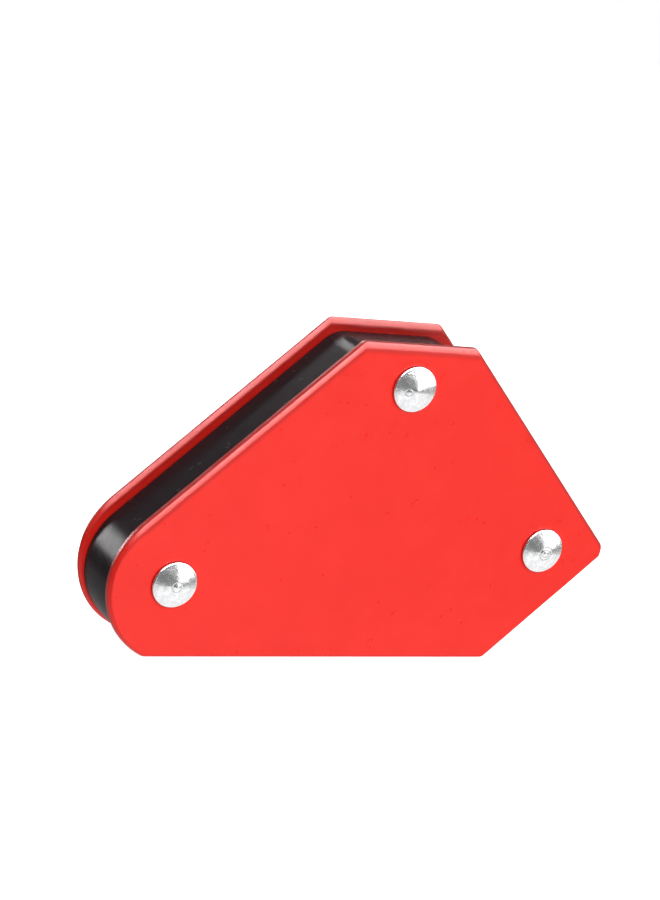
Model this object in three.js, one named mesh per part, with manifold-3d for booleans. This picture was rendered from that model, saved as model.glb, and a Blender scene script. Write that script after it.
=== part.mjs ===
// Multi-angle magnetic welding holder: two painted steel side plates with a moulded plastic
// core between them, three ferrite block magnets in the core, and three rivets through it all.
//
// Millimetres. +X along the length towards the pointed end, +Y from the front plate to the
// rear plate, +Z up. The origin is at the bottom centre, so the base edges stand on z = 0.

import * as THREE from 'three';
import { mergeVertices } from 'three/addons/utils/BufferGeometryUtils.js';
import Module from 'manifold-3d';

const wasm = await Module();
wasm.setup();

// Driving dimensions
const LENGTH = 83;
const HEIGHT = 50;
const PLATE_THICKNESS = 1.5;
const GAP = 10.2; // between the two plates
const PLATE_CORNER_RADIUS = 1.2;
const BASE_END = 24; // x where the base edge meets the lower right edge
const TOP_END = 10.8; // x where the top edge meets the upper right edge

// The outer edge of each plate, rounded by blanking and paint
const EDGE_ROUNDING_WIDTH = 0.9; // measured across the face
const EDGE_ROUNDING_DEPTH = 0.8; // measured through the thickness
const EDGE_ROUNDING_STEPS = 3;

// The heel, the round end opposite the point: an arc that starts along the upper left edge
// and is cut off by the base edge, with a small round corner between them
const HEEL_RADIUS = 12.6;
const PLATE_HEEL = { x: HEEL_RADIUS - LENGTH / 2, z: 11.5, radius: HEEL_RADIUS };
const CORE_HEEL = { x: -30.3, z: 10.6, radius: 10.45 };
const HEEL_CORNER_RADIUS = 2;

const CORE_RECESS = 1.8; // from the plates' straight edges in to the core's
const CORE_BASE_RECESS = 0.8;
const CORE_CORNER_RADIUS = 3;
const GLUE_GAP = 0.05; // on each side, between a plate and what it covers

const MAGNET = { length: 20, height: 15, cornerRadius: 0.8, chamfer: 0.4 };
const MAGNET_CLEARANCE = 0.3;
const MAGNETS = {
  magnet_lower_left: [-14.5, 13],
  magnet_lower_right: [8.5, 13],
  magnet_upper: [0.5, 31],
};

const RIVETS = {
  rivet_left: [-31.45, 11.7],
  rivet_top: [1.2, 43.35],
  rivet_right: [30.15, 18.35],
};
const SHANK_RADIUS = 2;
const PLATE_HOLE_RADIUS = 2.1;
const CORE_HOLE_RADIUS = 2.15;
const HEAD_RADIUS = 3.52;
const HEAD_HEIGHT = 1.3;
const HEAD_RIM = 0.25; // the straight side of the head below its dome
const HEAD_SEAT_GAP = 0.02;
const FORMING_MARK_RADIUS = 0.7; // the small dimple in the middle of the formed head
const FORMING_MARK_DEPTH = 0.15;

const ARC_DIVISIONS = 3; // a three.js arc gets twice this many segments
const ROUND_SEGMENTS = 24;

const PAINT_RED = 0xf93e35;
const CORE_BLACK = 0x262324;
const FERRITE_GREY = 0x3a3a3c;
const RIVET_SILVER = 0xd6d8da;

// Straight edges of the outline, each given by a point on it and the way it faces in degrees,
// anticlockwise from the base to the top. coreRecess is how far in from a plate's edge the
// core's edge is: the core has no edge at the plates' blunt point.
const EDGES = [
  { through: [0, 0], facing: -90, coreRecess: CORE_BASE_RECESS },
  { through: [BASE_END, 0], facing: -45, coreRecess: CORE_RECESS },
  { through: [LENGTH / 2, 0], facing: 0 },
  { through: [TOP_END, HEIGHT], facing: 45, coreRecess: CORE_RECESS },
  { through: [0, HEIGHT], facing: 90, coreRecess: CORE_RECESS },
];
const UPPER_LEFT = 135; // the way the upper left edge faces, which the heel's arc starts along
const BASE = 270;
const TURN = 45;

function wayTo(facing) {
  const angle = THREE.MathUtils.degToRad(facing);
  return new THREE.Vector2(Math.cos(angle), Math.sin(angle));
}

function edgeLine(edge, inset) {
  const normal = wayTo(edge.facing);
  const reach = normal.dot(new THREE.Vector2(...edge.through)) - inset;
  return { normal, reach };
}

function crossing(a, b) {
  const cross = a.normal.cross(b.normal);
  const x = (a.reach * b.normal.y - b.reach * a.normal.y) / cross;
  const y = (b.reach * a.normal.x - a.reach * b.normal.x) / cross;
  return new THREE.Vector2(x, y);
}

function coreEdges() {
  return EDGES.filter((edge) => edge.coreRecess).map((edge) => {
    const { x, y } = wayTo(edge.facing).multiplyScalar(edge.coreRecess);
    return { ...edge, through: [edge.through[0] - x, edge.through[1] - y] };
  });
}

function addArc(shape, centre, radius, start, end) {
  const from = THREE.MathUtils.degToRad(start);
  const to = THREE.MathUtils.degToRad(end);
  shape.absarc(centre.x, centre.y, radius, from, to, false);
}

// The heel's arc, and the round corner that joins it to the base edge at the given height
function addHeel(shape, heel, baseHeight) {
  const centre = new THREE.Vector2(heel.x, heel.z);
  const height = baseHeight + HEEL_CORNER_RADIUS;
  const across = Math.sqrt((heel.radius - HEEL_CORNER_RADIUS) ** 2 - (heel.z - height) ** 2);
  const corner = new THREE.Vector2(heel.x - across, height);
  const joint = THREE.MathUtils.radToDeg(corner.clone().sub(centre).angle());
  for (let facing = UPPER_LEFT; facing < joint; facing += TURN) {
    addArc(shape, centre, heel.radius, facing, Math.min(facing + TURN, joint));
  }
  addArc(shape, corner, HEEL_CORNER_RADIUS, joint, BASE);
}

// The outline of a plate or of the core: straight edges with round corners, then the heel
function bodyOutline(edges, cornerRadius, heel) {
  const start = wayTo(UPPER_LEFT).multiplyScalar(heel.radius);
  const upperLeft = { through: [heel.x + start.x, heel.z + start.y], facing: UPPER_LEFT };
  const chain = [...edges, upperLeft];
  const shape = new THREE.Shape();
  edges.forEach((edge, i) => {
    const next = chain[i + 1];
    const centre = crossing(edgeLine(edge, cornerRadius), edgeLine(next, cornerRadius));
    for (let facing = edge.facing; facing < next.facing; facing += TURN) {
      addArc(shape, centre, cornerRadius, facing, facing + TURN);
    }
  });
  addHeel(shape, heel, edges[0].through[1]);
  shape.closePath();
  return shape;
}

function roundedRectangle(centreX, centreY, width, height, radius) {
  const path = new THREE.Shape();
  const quarter = Math.PI / 2;
  const reachX = width / 2 - radius;
  const reachY = height / 2 - radius;
  const corners = [[1, -1], [1, 1], [-1, 1], [-1, -1]];
  corners.forEach(([sideX, sideY], i) => {
    const start = (i - 1) * quarter;
    path.absarc(centreX + sideX * reachX, centreY + sideY * reachY, radius, start, start + quarter, false);
  });
  path.closePath();
  return path;
}

function circle(centreX, centreY, radius) {
  const path = new THREE.Path();
  const quarter = Math.PI / 2;
  for (let i = 0; i < 4; i += 1) {
    path.absarc(centreX, centreY, radius, i * quarter, (i + 1) * quarter, false);
  }
  return path;
}

// Extrudes a shape drawn in X and Z through a thickness centred on y = 0
function extrudeThroughY(shape, thickness, bevel = {}) {
  const bevelDepth = bevel.bevelThickness ?? 0;
  const depth = thickness - 2 * bevelDepth;
  const options = { depth, curveSegments: ARC_DIVISIONS, bevelEnabled: bevelDepth > 0, ...bevel };
  const geometry = new THREE.ExtrudeGeometry(shape, options);
  geometry.translate(0, 0, -depth / 2);
  geometry.rotateX(Math.PI / 2);
  return geometry;
}

function toSolid(geometry) {
  const bare = geometry.clone();
  bare.deleteAttribute('normal');
  bare.deleteAttribute('uv');
  const merged = mergeVertices(bare);
  const vertProperties = new Float32Array(merged.attributes.position.array);
  const triVerts = new Uint32Array(merged.index.array);
  return new wasm.Manifold(new wasm.Mesh({ numProp: 3, vertProperties, triVerts }));
}

function toGeometry(solid) {
  const mesh = solid.getMesh();
  const geometry = new THREE.BufferGeometry();
  geometry.setAttribute('position', new THREE.BufferAttribute(mesh.vertProperties, 3));
  geometry.setIndex(new THREE.BufferAttribute(mesh.triVerts, 1));
  geometry.computeVertexNormals();
  return geometry;
}

// One side plate, lying on y = 0 with its rounded edge on the side given by outward (-1 or 1).
// A blank of twice the thickness, rounded on both faces, is cut in half and drilled.
function sidePlateGeometry(outward) {
  const shape = bodyOutline(EDGES, PLATE_CORNER_RADIUS, PLATE_HEEL);
  const blank = extrudeThroughY(shape, 2 * PLATE_THICKNESS, {
    bevelThickness: EDGE_ROUNDING_DEPTH,
    bevelSize: EDGE_ROUNDING_WIDTH,
    bevelOffset: -EDGE_ROUNDING_WIDTH,
    bevelSegments: EDGE_ROUNDING_STEPS,
  });
  const half = new THREE.BoxGeometry(2 * LENGTH, 2 * PLATE_THICKNESS, 4 * HEIGHT);
  half.translate(0, outward * PLATE_THICKNESS, 0);
  let plate = toSolid(blank).intersect(toSolid(half));
  for (const [x, z] of Object.values(RIVETS)) {
    const drill = new THREE.CylinderGeometry(
      PLATE_HOLE_RADIUS, PLATE_HOLE_RADIUS, 4 * PLATE_THICKNESS, ROUND_SEGMENTS);
    drill.translate(x, 0, z);
    plate = plate.subtract(toSolid(drill));
  }
  return toGeometry(plate);
}

// The moulded core, with a pocket through it for each magnet and a hole for each rivet
function coreGeometry() {
  const shape = bodyOutline(coreEdges(), CORE_CORNER_RADIUS, CORE_HEEL);
  const spare = 2 * MAGNET_CLEARANCE;
  for (const [x, z] of Object.values(MAGNETS)) {
    shape.holes.push(roundedRectangle(
      x, z, MAGNET.length + spare, MAGNET.height + spare, MAGNET.cornerRadius));
  }
  for (const [x, z] of Object.values(RIVETS)) {
    shape.holes.push(circle(x, z, CORE_HOLE_RADIUS));
  }
  return extrudeThroughY(shape, GAP - 2 * GLUE_GAP);
}

function magnetGeometry() {
  const { length, height, cornerRadius, chamfer } = MAGNET;
  return extrudeThroughY(roundedRectangle(0, 0, length, height, cornerRadius), GAP - 2 * GLUE_GAP, {
    bevelThickness: chamfer,
    bevelSize: chamfer,
    bevelOffset: -chamfer,
    bevelSegments: 1,
  });
}

// Half of a rivet's profile, from the axis out over the head's dome and in to the shank.
// The dome is a spherical cap that ends at the top of the rim.
function headProfile(markDepth) {
  const seat = GAP / 2 + PLATE_THICKNESS + HEAD_SEAT_GAP;
  const capHeight = HEAD_HEIGHT - HEAD_RIM;
  const capRadius = (HEAD_RADIUS ** 2 + capHeight ** 2) / (2 * capHeight);
  const domeHeight = (radius) =>
    seat + HEAD_HEIGHT - capRadius + Math.sqrt(capRadius ** 2 - radius ** 2);
  const domeSteps = 6;
  const points = [new THREE.Vector2(0, domeHeight(0) - markDepth)];
  for (let i = 0; i <= domeSteps; i += 1) {
    const radius = THREE.MathUtils.lerp(FORMING_MARK_RADIUS, HEAD_RADIUS, i / domeSteps);
    points.push(new THREE.Vector2(radius, domeHeight(radius)));
  }
  points.push(new THREE.Vector2(HEAD_RADIUS, seat));
  points.push(new THREE.Vector2(SHANK_RADIUS, seat));
  return points;
}

// A one-piece rivet along Y: the formed head in front at -Y, the plain factory head behind
function rivetGeometry() {
  const front = headProfile(FORMING_MARK_DEPTH).map((p) => new THREE.Vector2(p.x, -p.y));
  const rear = headProfile(0).reverse();
  return new THREE.LatheGeometry([...front, ...rear], ROUND_SEGMENTS);
}

const paint = new THREE.MeshStandardMaterial({ color: PAINT_RED, roughness: 0.35, metalness: 0 });
const plastic = new THREE.MeshStandardMaterial({ color: CORE_BLACK, roughness: 0.4, metalness: 0 });
const ferrite = new THREE.MeshStandardMaterial({ color: FERRITE_GREY, roughness: 0.6, metalness: 0.1 });
const steel = new THREE.MeshStandardMaterial({ color: RIVET_SILVER, roughness: 0.25, metalness: 1 });

const holder = new THREE.Group();

function addPart(name, geometry, material, x, y, z) {
  const mesh = new THREE.Mesh(geometry, material);
  mesh.name = name;
  mesh.position.set(x, y, z);
  holder.add(mesh);
}

addPart('front_side_plate', sidePlateGeometry(-1), paint, 0, -GAP / 2, 0);
addPart('rear_side_plate', sidePlateGeometry(1), paint, 0, GAP / 2, 0);
addPart('core_frame', coreGeometry(), plastic, 0, 0, 0);
for (const [name, [x, z]] of Object.entries(MAGNETS)) {
  addPart(name, magnetGeometry(), ferrite, x, 0, z);
}
for (const [name, [x, z]] of Object.entries(RIVETS)) {
  addPart(name, rivetGeometry(), steel, x, 0, z);
}

export default holder;
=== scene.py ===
"""The looks of the riveted magnetic welding holder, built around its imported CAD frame.

Metres, +X towards the pointed end, +Y from the front plate to the rear plate, +Z up.
The painted plates, the moulded core and the rivets are rebuilt here in finer detail, from
the outlines and sizes of their CAD nodes. The magnets inside keep their shape and get a
material.
"""

import math

import bmesh
import bpy
from mathutils import Matrix, Vector, noise
from mathutils.geometry import tessellate_polygon


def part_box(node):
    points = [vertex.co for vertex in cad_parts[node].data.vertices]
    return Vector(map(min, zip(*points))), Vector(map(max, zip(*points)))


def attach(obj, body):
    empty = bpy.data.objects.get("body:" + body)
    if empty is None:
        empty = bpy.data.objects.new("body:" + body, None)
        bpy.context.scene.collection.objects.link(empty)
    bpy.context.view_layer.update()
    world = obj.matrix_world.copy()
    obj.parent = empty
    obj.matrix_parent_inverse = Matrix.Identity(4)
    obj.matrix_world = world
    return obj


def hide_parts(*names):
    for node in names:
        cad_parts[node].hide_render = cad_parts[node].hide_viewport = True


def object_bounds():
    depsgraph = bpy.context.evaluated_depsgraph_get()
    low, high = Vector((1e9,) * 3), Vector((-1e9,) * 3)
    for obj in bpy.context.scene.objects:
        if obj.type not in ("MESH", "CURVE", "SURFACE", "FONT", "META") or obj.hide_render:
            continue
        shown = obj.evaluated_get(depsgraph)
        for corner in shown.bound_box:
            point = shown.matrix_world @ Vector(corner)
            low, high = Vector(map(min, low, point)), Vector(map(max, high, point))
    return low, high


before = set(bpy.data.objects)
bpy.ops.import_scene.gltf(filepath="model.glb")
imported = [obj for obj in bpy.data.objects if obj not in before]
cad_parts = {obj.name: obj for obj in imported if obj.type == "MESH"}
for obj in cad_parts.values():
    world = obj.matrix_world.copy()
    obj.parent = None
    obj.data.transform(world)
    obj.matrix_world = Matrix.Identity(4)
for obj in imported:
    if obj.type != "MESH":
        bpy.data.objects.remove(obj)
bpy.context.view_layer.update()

MM = 0.001
FLAT_FACE_WEIGHT = 100  # how much large faces outweigh small ones where normals are smoothed

# Plates: sheared from sheet the same way round, with the rolled edge of both towards the front,
# and thickly painted. Each edge is given across the face and through the thickness
CORNER_RADIUS = 1.2 * MM
LEAST_CORNER_RADIUS = 0.1 * MM
HEEL_CORNER_RADIUS = 2 * MM  # between the heel's arc and the base edge
ROLLED_EDGE = Vector((1.0, 0.6)) * MM
BACK_EDGES = {
    "front_side_plate": Vector((0.12, 0.12)) * MM,
    "rear_side_plate": Vector((0.65, 0.65)) * MM,
}
EDGE_SOFTENING = 0.3 * MM  # at each corner of an edge's section
SOFTENING_LIMIT = 0.45  # of the way to the next corner
SOFTENING_STEPS = 6
WIDE_WAY = math.radians(105)  # edges that face this way are rolled widest
LOW_EDGE_SHARE = 0.35  # of that width where an edge faces the other way
WIDE_EDGE_GAIN = 0.73  # more of it than that, facing the wide way
WIDE_EDGE_FADE = 4  # how soon the gain fades to either side
FACE_MARGIN = 0.8 * MM  # of flat face beside each edge, over which the painted shade line along its crease fades
EDGE_WANDER = 0.09 * MM  # how unevenly the paint flows along an edge
EDGE_WANDER_LENGTH = 3.5 * MM
WANDER_SEED = 17  # so that the two plates' edges wander differently
STRAIGHT_STEP = 0.6 * MM
ARC_STEPS = 14  # in every 45 degrees of a corner

# Core
CORE_CORNER_RADIUS = 4.5 * MM
CORE_EDGE_RADIUS = 0.25 * MM
CORE_CROWN = 0.04 * MM
CORE_STEPS = 12  # from its middle to either face
MAGNET_CLEARANCE = 0.3 * MM
POCKET_CORNER_RADIUS = 0.8 * MM
POCKET_CORNER_STEPS = 6

# Rivets: each head is a low dome inside a narrow flange
SHANK_RADIUS = 2 * MM
PLATE_HOLE_RADIUS = 2.1 * MM
HEAD_SEAT_GAP = 0.02 * MM
FLANGE_WIDTH = 0.3 * MM
FLANGE_HEIGHT = 0.42 * MM
RIM_RADIUS = 0.22 * MM
CONE_SHARE = 0.65  # of the dome's height that is nearly a cone, the rest being round
CONE_POWER = 1.15
HEAD_STEPS = 44
ROUND_POINTS = 112  # round every circle
MARK_WIDTH = 0.12 * MM
DISH_WIDTH = 0.22 * MM  # of the groove that a head presses into the paint round it
DISH_DEPTH = 0.06 * MM

# The marks that the forming tool left on the front heads: rings and dots, as the middle in
# X and Z, the radius and the depth, in millimetres
FORMING_MARKS = {
    "rivet_left": [(0, 0, 0.66, 0.05), (0, 0, 0, -0.03)],
    "rivet_top": [(0, 0, 0, 0.05), (-1.35, -0.3, 0.42, 0.035), (-1.5, 0.5, 0.2, 0.02)],
    "rivet_right": [(0.1, -0.1, 0.45, 0.05), (0.1, -0.1, 0.95, 0.06)],
}

# Studio: a dim room above a bright table, both brightest towards one side, and both seen only
# in reflections and as soft light
ROOM_LEVEL = 0.2
TABLE_LEVEL = 0.9
TABLE_HORIZON = -18.5
HORIZON_BLUR = 0.03  # each way, as a sine
BRIGHT_WAY = (35, -35)
FAR_SIDE_SHARE = 0.3
SIDE_FADE = (-0.3, 0.9)  # cosines to the bright way, at the far share and at all of it
FLOOR_SIZE = 0.6
FLOOR_GLOW = 1.0

# Azimuth and elevation in degrees, distance, width and height in metres, radiance, and which rays
# see the light
LIGHTS = {
    "front_soft_light": (-5, -8, 1.0, 1.3, 0.5, 3.15, "diffuse"),
    "key_soft_light": (-5, 35, 1.0, 1.3, 0.8, 1.2, "diffuse"),
    "top_soft_light": (180, 80, 1.0, 1.0, 1.0, 1.2, "diffuse"),
    "left_fill_light": (-110, 35, 1.0, 0.8, 0.8, 0.8, "diffuse"),
    "back_soft_light": (172, 5, 1.0, 1.3, 0.6, 2.2, "diffuse"),
    "key_reflection": (40, 60, 1.0, 1.3, 1.1, 7.8, "glossy"),
    "right_reflection": (58, 18, 1.0, 1.3, 0.9, 1.8, "glossy"),
    "upper_left_reflection": (-34, 43, 1.0, 0.6, 0.4, 12.0, "glossy"),
    "back_strip_light": (150, 17, 1.0, 0.7, 0.25, 0.5, "glossy"),
    "heel_highlight": (-148, 8, 0.8, 0.14, 0.26, 16.0, "glossy"),
    "core_corner_highlight": (182, 32, 0.8, 0.26, 0.3, 7.5, "glossy"),
}

# Camera, at the photograph's viewing angle and with its slight roll
LENS = 105.78
SENSOR_WIDTH = 36
NEAREST_SEEN = 0.01
CAMERA_PLACE = Vector((-0.195985, -0.32621, 0.14489))
CAMERA_RIGHT = Vector((0.87634, -0.43849, 0.19944))
CAMERA_UP = Vector((-0.03837, 0.34914, 0.93629))


# ---------------------------------------------------------------- outlines from the frame

BASE, LOWER_RIGHT, POINT, UPPER_RIGHT, TOP, UPPER_LEFT = (math.radians(a) for a in range(-90, 136, 45))
PLATE_EDGES = [BASE, LOWER_RIGHT, POINT, UPPER_RIGHT, TOP, UPPER_LEFT]  # the ways they face
CORE_EDGES = [BASE, LOWER_RIGHT, UPPER_RIGHT, TOP, UPPER_LEFT]
LEFT = math.pi
LOWER_LEFT = math.pi * 5 / 4


def on_circle(centre, radius, angle):
    return centre + radius * Vector((math.cos(angle), math.sin(angle)))


class Edge:
    """A straight edge of an outline in X and Z: the way it faces and how far out it is."""

    def __init__(self, facing, reach):
        self.facing = facing
        self.normal = on_circle(Vector((0, 0)), 1, facing)
        self.reach = reach


def crossing(a, b, inset_a=0, inset_b=0):
    """Where the lines of two edges meet, once each is moved in by its inset."""
    reach_a = a.reach - inset_a
    reach_b = b.reach - inset_b
    across = reach_a * b.normal.y - reach_b * a.normal.y
    up = reach_b * a.normal.x - reach_a * b.normal.x
    return Vector((across, up)) / a.normal.cross(b.normal)


def arc(centre, radius, start, end, steps):
    return [on_circle(centre, radius, start + (end - start) * k / steps) for k in range(steps + 1)]


class Outline:
    """The outline of a CAD node: straight edges with round corners, then the heel's arc."""

    def __init__(self, node, facings):
        self.vertices = [vertex.co.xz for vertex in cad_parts[node].data.vertices]
        self.edges = [Edge(facing, self.reach(facing)) for facing in facings]
        upper_left, left, lower_left = (self.reach(a) for a in (UPPER_LEFT, LEFT, LOWER_LEFT))
        heel_x = (upper_left + lower_left - 2 * left) / (2 - math.sqrt(2))
        self.heel = Vector((heel_x, (upper_left - lower_left) / math.sqrt(2)))
        self.heel_radius = left + heel_x
        self.straight_steps = []
        for before, edge, following in zip(self.edges[-1:] + self.edges, self.edges, self.edges[1:]):
            length = (crossing(edge, following) - crossing(before, edge)).length
            self.straight_steps.append(round(length / STRAIGHT_STEP))
        heel_start = on_circle(self.heel, self.heel_radius, UPPER_LEFT)
        self.heel_edge_steps = round((crossing(*self.edges[-2:]) - heel_start).length / STRAIGHT_STEP)

    def reach(self, facing):
        """How far out the node reaches in a direction."""
        normal = on_circle(Vector((0, 0)), 1, facing)
        return max(normal.dot(vertex) for vertex in self.vertices)

    def heel_points(self, inset, share_of):
        """The heel's arc and the small round corner that joins it to the base edge."""
        low_inset = inset * share_of(BASE)
        radius = max(HEEL_CORNER_RADIUS - low_inset, LEAST_CORNER_RADIUS)
        height = low_inset + radius - self.edges[0].reach
        span = self.heel_radius - low_inset - radius
        across = math.sqrt(span**2 - (self.heel.y - height) ** 2)
        corner = Vector((self.heel.x - across, height))
        joint = math.pi + math.asin((self.heel.y - height) / span)
        points = []
        for k in range(3 * ARC_STEPS):
            facing = UPPER_LEFT + (joint - UPPER_LEFT) * k / (3 * ARC_STEPS)
            points.append(on_circle(self.heel, self.heel_radius - inset * share_of(facing), facing))
        return points + arc(corner, radius, joint, BASE + math.tau, ARC_STEPS)

    def ring(self, inset, corner_radius, share_of=lambda facing: 1):
        """The outline moved in by a share of inset that depends on the way it faces there.

        It has as many points whatever the inset is. corner_radius is that of the outline itself.
        """
        heel = self.heel_points(inset, share_of)
        points = []
        last = heel[-1]
        for edge, following, steps in zip(self.edges, self.edges[1:], self.straight_steps):
            insets = [inset * share_of(facing) for facing in (edge.facing, following.facing)]
            radius = max(corner_radius - sum(insets) / 2, LEAST_CORNER_RADIUS)
            centre = crossing(edge, following, insets[0] + radius, insets[1] + radius)
            turns = round((following.facing - edge.facing) / UPPER_RIGHT)
            corner = arc(centre, radius, edge.facing, following.facing, turns * ARC_STEPS)
            points += [last.lerp(corner[0], k / steps) for k in range(1, steps)] + corner
            last = corner[-1]
        steps = self.heel_edge_steps
        return points + [last.lerp(heel[0], k / steps) for k in range(1, steps)] + heel


# ---------------------------------------------------------------- meshes


def circle(centre, radius, count):
    return [on_circle(centre, radius, math.tau * i / count) for i in range(count)]


def rounded_rectangle(centre, width, height, radius):
    points = []
    quarter = math.pi / 2
    for i, (side_x, side_z) in enumerate([(1, -1), (1, 1), (-1, 1), (-1, -1)]):
        corner = centre + Vector((side_x * (width / 2 - radius), side_z * (height / 2 - radius)))
        points += arc(corner, radius, (i - 1) * quarter, i * quarter, POCKET_CORNER_STEPS)
    return points


class Ring:
    """A closed loop of points, with how near it is to an edge, for worn paint and painted shade, and to
    a crease, for a line of painted shade (0 to 1).
    """

    def __init__(self, points, edge_wear=0.0, crease=0.0):
        self.points = points
        self.edge_wear = edge_wear
        self.crease = crease


def flat_ring(points, y, **marks):
    return Ring([Vector((p.x, y, p.y)) for p in points], **marks)


def add_stack(mesh, stack):
    """Skins a stack of rings and returns them as rings of vertices."""
    wear = mesh.verts.layers.float["edge_wear"]
    crease = mesh.verts.layers.float["crease"]
    rings = []
    for ring in stack:
        verts = [mesh.verts.new(point) for point in ring.points]
        for vert in verts:
            vert[wear] = ring.edge_wear
            vert[crease] = ring.crease
        rings.append(verts)
    for first, second in zip(rings, rings[1:]):
        for i in range(len(first)):
            mesh.faces.new((first[i - 1], first[i], second[i], second[i - 1]))
    return rings


def add_cap(mesh, rings):
    """Fills the flat face inside the first ring and outside the other rings."""
    verts = [vert for ring in rings for vert in ring]
    flat = [[Vector((vert.co.x, vert.co.z, 0)) for vert in ring] for ring in rings]
    for corners in tessellate_polygon(flat):
        if len(set(corners)) == 3:
            mesh.faces.new([verts[corner] for corner in corners])


def new_mesh():
    mesh = bmesh.new()
    mesh.verts.layers.float.new("edge_wear")
    mesh.verts.layers.float.new("crease")
    return mesh


def finish_mesh(name, mesh):
    bmesh.ops.recalc_face_normals(mesh, faces=mesh.faces)
    data = bpy.data.meshes.new(name)
    mesh.to_mesh(data)
    mesh.free()
    data.shade_smooth()
    piece = bpy.data.objects.new(name, data)
    bpy.context.scene.collection.objects.link(piece)
    weighted = piece.modifiers.new("weighted_normals", "WEIGHTED_NORMAL")
    weighted.weight = FLAT_FACE_WEIGHT
    return piece


def slab(name, outer, holes):
    """A slab in X and Z. outer and each hole are stacks of rings from front to rear."""
    mesh = new_mesh()
    stacks = [add_stack(mesh, stack) for stack in [outer] + holes]
    add_cap(mesh, [stack[0] for stack in stacks])
    add_cap(mesh, [stack[-1] for stack in stacks])
    return finish_mesh(name, mesh)


def nodes_called(start):
    return sorted(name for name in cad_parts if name.startswith(start))


def middle_of(node):
    """The middle of a node's box in X and Z."""
    low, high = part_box(node)
    return Vector((low.x + high.x, low.z + high.z)) / 2


def head_radius():
    low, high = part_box("rivet_left")
    return (high.x - low.x) / 2


# Plates


def softened(corners):
    """The chain of corners with each inner one rounded."""
    points = [corners[0]]
    for before, corner, after in zip(corners, corners[1:], corners[2:]):
        start = corner.lerp(before, min(SOFTENING_LIMIT, EDGE_SOFTENING / (before - corner).length))
        end = corner.lerp(after, min(SOFTENING_LIMIT, EDGE_SOFTENING / (after - corner).length))
        for k in range(SOFTENING_STEPS + 1):
            t = k / SOFTENING_STEPS
            points.append(start.lerp(corner, t).lerp(corner.lerp(end, t), t))
    points.append(corners[-1])
    return points


def plate_profile(thickness, outer, inner):
    """A plate's edge from its outer face to its inner face, as (inset, depth)."""
    corners = [
        Vector((outer.x + FACE_MARGIN, 0)),
        Vector((outer.x, 0)),
        Vector((0, outer.y)),
        Vector((0, thickness - inner.y)),
        Vector((inner.x, thickness)),
        Vector((inner.x + FACE_MARGIN, thickness)),
    ]
    return softened(corners)


def edge_share(facing):
    """How much of an edge's width there is where it faces a way."""
    towards = max(0, math.cos(facing - WIDE_WAY))
    return min(1, LOW_EDGE_SHARE + WIDE_EDGE_GAIN * towards**WIDE_EDGE_FADE)


def paint_wander(point, seed):
    """How far the paint's flow moves a point of an edge's inner side, from about -1 to 1."""
    sample = Vector((point.x, point.y, seed * MM)) / EDGE_WANDER_LENGTH
    return noise.noise(sample) + noise.noise(3 * sample) / 2


def plate_edge(outline, thickness, outer_face, outward, outer, inner):
    """The stack of rings round a plate's edge, from its outer face in."""
    wander = [paint_wander(point, WANDER_SEED * outward) for point in outline.ring(0, CORNER_RADIUS)]
    stack = []
    for inset, depth in plate_profile(thickness, outer, inner):
        width = outer.x if depth < thickness / 2 else inner.x
        ring = outline.ring(inset, CORNER_RADIUS, edge_share)
        further = outline.ring(inset + EDGE_WANDER, CORNER_RADIUS, edge_share)
        flow = min(1, inset / width)
        points = [p.lerp(q, flow * w) for p, q, w in zip(ring, further, wander)]
        past = inset - width
        # a line of painted shade, darkest where the rounded edge meets the flat face
        crease = max(0, 1 + past / EDGE_SOFTENING if past < 0 else 1 - past / FACE_MARGIN)
        # nearness to the outer edge, for worn paint and for painted shade along the edge
        wear = max(0, 1 - inset / width)
        stack.append(flat_ring(points, outer_face - outward * depth, edge_wear=wear, crease=crease))
    return stack


def rivet_hole(node, thickness, outer_face, outward):
    """The stack of rings of a plate's hole and of the groove round a rivet's head, from outside in, with
    a ring of painted shade in the groove.
    """
    rim = head_radius()
    profile = [  # radius, depth and painted shade
        (rim + 2.5 * DISH_WIDTH, 0, 0),
        (rim + DISH_WIDTH, 0, 0.25),
        (rim + DISH_WIDTH / 3, DISH_DEPTH, 1),
        (rim - DISH_WIDTH, DISH_DEPTH, 1),
        (rim - 3 * DISH_WIDTH, 0, 0.5),
        (PLATE_HOLE_RADIUS, 0, 0),
        (PLATE_HOLE_RADIUS, thickness, 0),
    ]
    centre = middle_of(node)
    return [
        flat_ring(circle(centre, radius, ROUND_POINTS), outer_face - outward * depth, crease=crease)
        for radius, depth, crease in profile
    ]


def side_plate(node, outward):
    """A painted side plate. outward is -1 for the front plate and 1 for the rear plate."""
    low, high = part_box(node)
    thickness = high.y - low.y
    outer_face = low.y if outward < 0 else high.y
    outline = Outline(node, PLATE_EDGES)
    edges = (ROLLED_EDGE, BACK_EDGES[node]) if outward < 0 else (BACK_EDGES[node], ROLLED_EDGE)
    edge = plate_edge(outline, thickness, outer_face, outward, *edges)
    holes = [rivet_hole(rivet, thickness, outer_face, outward) for rivet in nodes_called("rivet")]
    plate = slab(node + "_painted", edge, holes)
    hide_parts(node)
    return plate


# Core


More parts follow.
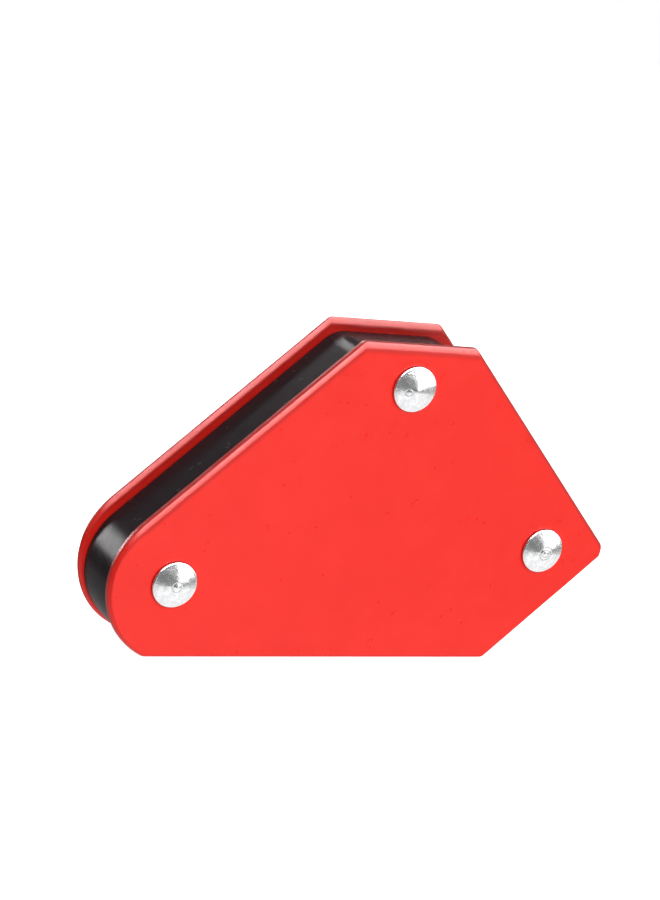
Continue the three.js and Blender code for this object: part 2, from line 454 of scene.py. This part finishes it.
def core_moulding():
    """The moulded core, very slightly crowned, with a pocket round each magnet and rivet."""
    low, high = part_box("core_frame")
    outline = Outline("core_frame", CORE_EDGES)
    middle = (low.y + high.y) / 2
    half = (high.y - low.y) / 2
    edge = []
    for i in range(-CORE_STEPS, CORE_STEPS + 1):
        share = math.sin(i / CORE_STEPS * math.pi / 2)
        past = max(0.0, abs(share) * half - (half - CORE_EDGE_RADIUS)) / CORE_EDGE_RADIUS
        rounding = CORE_EDGE_RADIUS * (1 - math.sqrt(max(0.0, 1 - past**2)))
        inset = CORE_CROWN * share**2 + rounding
        points = outline.ring(inset, CORE_CORNER_RADIUS)
        edge.append(flat_ring(points, middle + half * share, edge_wear=past))
    holes = []
    for name in nodes_called("rivet"):
        points = circle(middle_of(name), PLATE_HOLE_RADIUS, ROUND_POINTS)
        holes.append([flat_ring(points, low.y), flat_ring(points, high.y)])
    for name in nodes_called("magnet"):
        magnet_low, magnet_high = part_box(name)
        size = magnet_high - magnet_low + 2 * MAGNET_CLEARANCE * Vector((1, 1, 1))
        points = rounded_rectangle(middle_of(name), size.x, size.z, POCKET_CORNER_RADIUS)
        holes.append([flat_ring(points, low.y), flat_ring(points, high.y)])
    core = slab("core_moulding", edge, holes)
    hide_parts("core_frame")
    return core


# Rivets


def dome(radius, foot, rise):
    """Height over the flange of a low dome that is nearly a cone, at a radius from its middle."""
    share = min(1.0, radius / foot)
    return rise * ((1 - CONE_SHARE) * (1 - share**2) + CONE_SHARE * (1 - share**CONE_POWER))


def mark_depth(x, z, marks):
    """How deep the forming tool pressed at a point of a head."""
    depth = 0.0
    for mark_x, mark_z, radius, deepest in marks:
        distance = math.hypot(x - mark_x * MM, z - mark_z * MM) - radius * MM
        depth += deepest * MM * math.exp(-((distance / MARK_WIDTH) ** 2))
    return depth


def head_stack(head, height, seat, facing_way, marks):
    """Rings over a head, from near its middle out and in to the shank. facing_way is -1 or 1."""
    foot = head - FLANGE_WIDTH
    rise = height - FLANGE_HEIGHT
    profile = []
    for i in range(1, HEAD_STEPS + 1):
        radius = foot * i / HEAD_STEPS
        profile.append((radius, FLANGE_HEIGHT + dome(radius, foot, rise)))
    for angle in (0, 30, 60, 90):
        t = math.radians(angle)
        radius = head - RIM_RADIUS * (1 - math.sin(t))
        profile.append((radius, FLANGE_HEIGHT - RIM_RADIUS * (1 - math.cos(t))))
    profile += [(head, RIM_RADIUS / 2), (head - RIM_RADIUS / 2, 0), (SHANK_RADIUS, 0)]
    stack = []
    for radius, above in profile:
        points = []
        for p in circle(Vector((0, 0)), radius, ROUND_POINTS):
            pressed = mark_depth(p.x, p.y, marks) if radius <= foot else 0
            points.append(Vector((p.x, facing_way * (seat + above - pressed), p.y)))
        stack.append(Ring(points, edge_wear=radius / head))
    return stack


def rivet(node):
    """One rivet along Y, with its formed head in front and its plain head behind."""
    head = head_radius()
    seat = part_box("rear_side_plate")[1].y + HEAD_SEAT_GAP
    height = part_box(node)[1].y - seat
    front = head_stack(head, height, seat, -1, FORMING_MARKS[node])
    rear = head_stack(head, height, seat, 1, [])
    mesh = new_mesh()
    rings = add_stack(mesh, front + rear[::-1])
    for ring in (rings[0], rings[-1]):
        mesh.faces.new(ring)
    piece = finish_mesh(node + "_head_and_shank", mesh)
    middle = middle_of(node)
    piece.location = (middle.x, 0, middle.y)
    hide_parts(node)
    return piece


# ---------------------------------------------------------------- materials


class Shader:
    """A material's node tree with short ways to add what most materials here need."""

    def __init__(self, name):
        self.material = bpy.data.materials.new(name)
        self.material.use_nodes = True
        self.tree = self.material.node_tree
        self.surface = self.tree.nodes["Principled BSDF"]
        self.place = self.tree.nodes.new("ShaderNodeTexCoord").outputs["Object"]

    def node(self, kind, inputs, **settings):
        made = self.tree.nodes.new(kind)
        for key, value in settings.items():
            setattr(made, key, value)
        for key, value in inputs.items():
            self.put(value, made.inputs[key])
        return made

    def put(self, value, socket):
        """Links a socket to another node's output, or sets its constant."""
        if isinstance(value, bpy.types.NodeSocket):
            self.tree.links.new(value, socket)
        else:
            socket.default_value = value

    def noise(self, size, detail=3.0, roughness=0.5, distortion=0.0):
        """Noise from 0 to 1 whose features are about size metres across."""
        inputs = {"Vector": self.place, "Scale": 1 / size, "Detail": detail}
        inputs |= {"Roughness": roughness, "Distortion": distortion}
        return self.node("ShaderNodeTexNoise", inputs).outputs["Fac"]

    def ramp(self, value, low, high, to_low, to_high):
        """The value mapped from low..high to to_low..to_high, held at the ends."""
        inputs = {"Value": value, "From Min": low, "From Max": high}
        inputs |= {"To Min": to_low, "To Max": to_high}
        return self.node("ShaderNodeMapRange", inputs).outputs["Result"]

    def multiply(self, first, second):
        return self.node("ShaderNodeMath", {0: first, 1: second}, operation="MULTIPLY").outputs[0]

    def mix(self, factor, first, second):
        """A colour between two, each given as three linear numbers or as another node's output."""
        made = self.node("ShaderNodeMix", {"Factor": factor}, data_type="RGBA")
        sockets = [socket for socket in made.inputs if socket.type == "RGBA"]
        for socket, colour in zip(sockets, (first, second)):
            self.put((*colour, 1) if isinstance(colour, tuple) else colour, socket)
        return next(socket for socket in made.outputs if socket.type == "RGBA")

    def bump(self, height, distance, strength, **below):
        """Bumps, on top of those given as Normal."""
        inputs = {"Height": height, "Distance": distance, "Strength": strength} | below
        return self.node("ShaderNodeBump", inputs).outputs["Normal"]

    def attribute(self, name):
        return self.node("ShaderNodeAttribute", {}, attribute_name=name).outputs["Fac"]

    def connect(self, **values):
        for name, value in values.items():
            self.put(value, self.surface.inputs[name.replace("_", " ")])


def red_paint():
    """Glossy enamel on steel: faint mottle and orange peel, shiny and nicked edges, and painted shade:
    darker towards each edge, beside each edge's crease and round each rivet head.
    """
    shader = Shader("red_paint")
    wear = shader.attribute("edge_wear")
    cloud = shader.ramp(shader.noise(9 * MM, detail=2), 0.3, 0.7, 0, 1)
    base = shader.mix(cloud, (0.835, 0.016, 0.008), (0.875, 0.019, 0.01))
    # painted shade: the paint darker towards each edge
    base = shader.mix(shader.ramp(wear, 0.4, 1, 0, 0.65), base, (0.45, 0.011, 0.008))
    # painted shade: a dark line along each edge's crease and round each rivet head
    crease = shader.ramp(shader.attribute("crease"), 0, 1, 0, 0.8)
    base = shader.mix(crease, base, (0.5, 0.008, 0.005))
    scuffs = shader.noise(0.9 * MM, detail=5, roughness=0.65)
    rub = shader.multiply(shader.ramp(scuffs, 0.6, 0.68, 0, 1), shader.ramp(wear, 0.3, 1, 0, 0.6))
    base = shader.mix(rub, base, (0.42, 0.02, 0.018))
    roughness = shader.ramp(shader.noise(2.2 * MM, detail=3), 0.3, 0.7, 0.27, 0.36)
    peel = shader.bump(shader.noise(1.1 * MM, detail=2), 0.02 * MM, 0.45)
    grain = shader.bump(shader.noise(0.16 * MM, detail=2), 0.004 * MM, 0.5, Normal=peel)
    nicks = shader.bump(shader.multiply(rub, -1.0), 0.04 * MM, 0.7, Normal=grain)
    gloss = shader.ramp(wear, 0.2, 1, 0.32, 0.6)
    shader.connect(Base_Color=base, Roughness=roughness, Normal=nicks, Specular_IOR_Level=gloss)
    return shader.material


def black_plastic():
    """Moulded black plastic with a soft shine and a faint grain."""
    shader = Shader("black_plastic")
    cloud = shader.ramp(shader.noise(5 * MM, detail=3), 0.3, 0.7, 0, 1)
    base = shader.mix(cloud, (0.02, 0.014, 0.017), (0.025, 0.018, 0.021))
    roughness = shader.ramp(shader.noise(1.8 * MM, detail=3), 0.3, 0.7, 0.24, 0.28)
    grain = shader.bump(shader.noise(0.4 * MM, detail=3), 0.006 * MM, 0.5)
    shader.connect(Base_Color=base, Roughness=roughness, Normal=grain, Specular_IOR_Level=0.1)
    return shader.material


def bright_steel():
    """Zinc-plated rivet steel, blotched and dented by the forming tool."""
    shader = Shader("bright_steel")
    blotch = shader.noise(0.75 * MM, detail=6, roughness=0.68, distortion=0.5)
    base = shader.mix(shader.ramp(blotch, 0.38, 0.62, 0, 1), (0.75, 0.76, 0.77), (0.95, 0.955, 0.96))
    roughness = shader.ramp(blotch, 0.35, 0.65, 0.3, 0.17)
    dents = shader.bump(shader.noise(0.8 * MM, detail=3, roughness=0.6), 0.07 * MM, 0.6)
    grain = shader.bump(shader.noise(0.14 * MM, detail=3), 0.008 * MM, 0.6, Normal=dents)
    shader.connect(Base_Color=base, Roughness=roughness, Normal=grain, Metallic=1.0)
    return shader.material


def ferrite():
    """Sintered ferrite: dull dark grey with a fine grain."""
    shader = Shader("ferrite")
    grain = shader.noise(0.2 * MM, detail=5, roughness=0.7)
    base = shader.mix(shader.ramp(grain, 0.35, 0.65, 0, 1), (0.028, 0.028, 0.030), (0.060, 0.060, 0.064))
    roughness = shader.ramp(grain, 0.3, 0.7, 0.55, 0.75)
    bumps = shader.bump(grain, 0.02 * MM, 0.6)
    shader.connect(Base_Color=base, Roughness=roughness, Normal=bumps)
    return shader.material


def pale_floor():
    """Smooth studio floor that glows white, as a light table does."""
    shader = Shader("pale_floor")
    cloud = shader.ramp(shader.noise(80 * MM, detail=2), 0.3, 0.7, 0, 1)
    base = shader.mix(cloud, (0.90, 0.90, 0.90), (0.92, 0.92, 0.92))
    shader.connect(Base_Color=base, Roughness=0.9)
    shader.connect(Emission_Color=(1, 1, 1, 1), Emission_Strength=FLOOR_GLOW)
    return shader.material


def dress(piece, material):
    piece.data.materials.append(material)
    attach(piece, "root")


# ---------------------------------------------------------------- studio


def direction(azimuth, elevation):
    """Unit vector: azimuth in degrees from the front (-Y) towards +X, elevation above the floor."""
    a = math.radians(azimuth)
    e = math.radians(elevation)
    return Vector((math.sin(a) * math.cos(e), -math.cos(a) * math.cos(e), math.sin(e)))


def soft_light(name, target, azimuth, elevation, distance, width, height, radiance, seen_by):
    """A rectangular light that faces the target and is seen by diffuse or glossy rays only."""
    light = bpy.data.lights.new(name, "AREA")
    light.shape = "RECTANGLE"
    light.size = width
    light.size_y = height
    light.energy = radiance * math.pi * width * height
    lamp = bpy.data.objects.new(name, light)
    way = direction(azimuth, elevation)
    turn = (-way).to_track_quat("-Z", "Y").to_matrix().to_4x4()
    lamp.matrix_world = Matrix.Translation(target + distance * way) @ turn
    lamp.visible_diffuse = seen_by == "diffuse"
    lamp.visible_glossy = seen_by == "glossy"
    bpy.context.scene.collection.objects.link(lamp)


def lay_floor():
    """A white floor that only the camera sees, so that the table in the world stands for it."""
    data = bpy.data.meshes.new("floor")
    size = FLOOR_SIZE
    corners = [(-size, -size, 0), (size, -size, 0), (size, size, 0), (-size, size, 0)]
    data.from_pydata(corners, [], [(0, 1, 2, 3)])
    floor = bpy.data.objects.new("floor", data)
    bpy.context.scene.collection.objects.link(floor)
    data.materials.append(pale_floor())
    floor.visible_diffuse = False
    floor.visible_glossy = False
    floor.visible_shadow = False


def light_world():
    """White behind the object, and for all else a dim room above a bright white table."""
    world = bpy.data.worlds.new("white_studio")
    world.use_nodes = True
    nodes = world.node_tree.nodes
    link = world.node_tree.links.new

    def mapped(value, low, high, to_low, to_high):
        node = nodes.new("ShaderNodeMapRange")
        link(value, node.inputs["Value"])
        ends = {"From Min": low, "From Max": high, "To Min": to_low, "To Max": to_high}
        for name, number in ends.items():
            node.inputs[name].default_value = number
        return node.outputs["Result"]

    way = nodes.new("ShaderNodeTexCoord").outputs["Generated"]
    split = nodes.new("ShaderNodeSeparateXYZ")
    link(way, split.inputs["Vector"])
    side = nodes.new("ShaderNodeVectorMath")
    side.operation = "DOT_PRODUCT"
    link(way, side.inputs[0])
    side.inputs[1].default_value = direction(*BRIGHT_WAY)
    horizon = math.sin(math.radians(TABLE_HORIZON))
    below = horizon - HORIZON_BLUR
    above = horizon + HORIZON_BLUR
    level = mapped(split.outputs["Z"], below, above, ROOM_LEVEL + TABLE_LEVEL, ROOM_LEVEL)
    lit = nodes.new("ShaderNodeMath")
    lit.operation = "MULTIPLY"
    link(level, lit.inputs[0])
    link(mapped(side.outputs["Value"], *SIDE_FADE, FAR_SIDE_SHARE, 1), lit.inputs[1])
    seen = nodes.new("ShaderNodeMix")
    link(nodes.new("ShaderNodeLightPath").outputs["Is Camera Ray"], seen.inputs["Factor"])
    link(lit.outputs[0], seen.inputs["A"])
    seen.inputs["B"].default_value = 1.0
    background = nodes["Background"]
    background.inputs["Color"].default_value = (1, 1, 1, 1)
    link(seen.outputs["Result"], background.inputs["Strength"])
    bpy.context.scene.world = world


def place_camera():
    camera = bpy.data.cameras.new("camera")
    camera.sensor_width = SENSOR_WIDTH
    camera.lens = LENS
    camera.clip_start = NEAREST_SEEN
    axes = (CAMERA_RIGHT, CAMERA_UP, CAMERA_RIGHT.cross(CAMERA_UP))
    seat = bpy.data.objects.new("camera", camera)
    seat.matrix_world = Matrix.Translation(CAMERA_PLACE) @ Matrix(axes).transposed().to_4x4()
    bpy.context.scene.collection.objects.link(seat)
    bpy.context.scene.camera = seat


def build_holder():
    paint = red_paint()
    dress(side_plate("front_side_plate", -1), paint)
    dress(side_plate("rear_side_plate", 1), paint)
    dress(core_moulding(), black_plastic())
    steel = bright_steel()
    for node in nodes_called("rivet"):
        dress(rivet(node), steel)
    grey = ferrite()
    for name in nodes_called("magnet"):
        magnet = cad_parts[name]
        magnet.data.materials.clear()
        magnet.data.materials.append(grey)


def light_studio():
    low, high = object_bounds()
    middle = (Vector(low) + Vector(high)) / 2
    light_world()
    lay_floor()
    for name, placing in LIGHTS.items():
        soft_light(name, middle, *placing)


build_holder()
light_studio()
place_camera()
bpy.context.scene.view_settings.view_transform = "Standard"
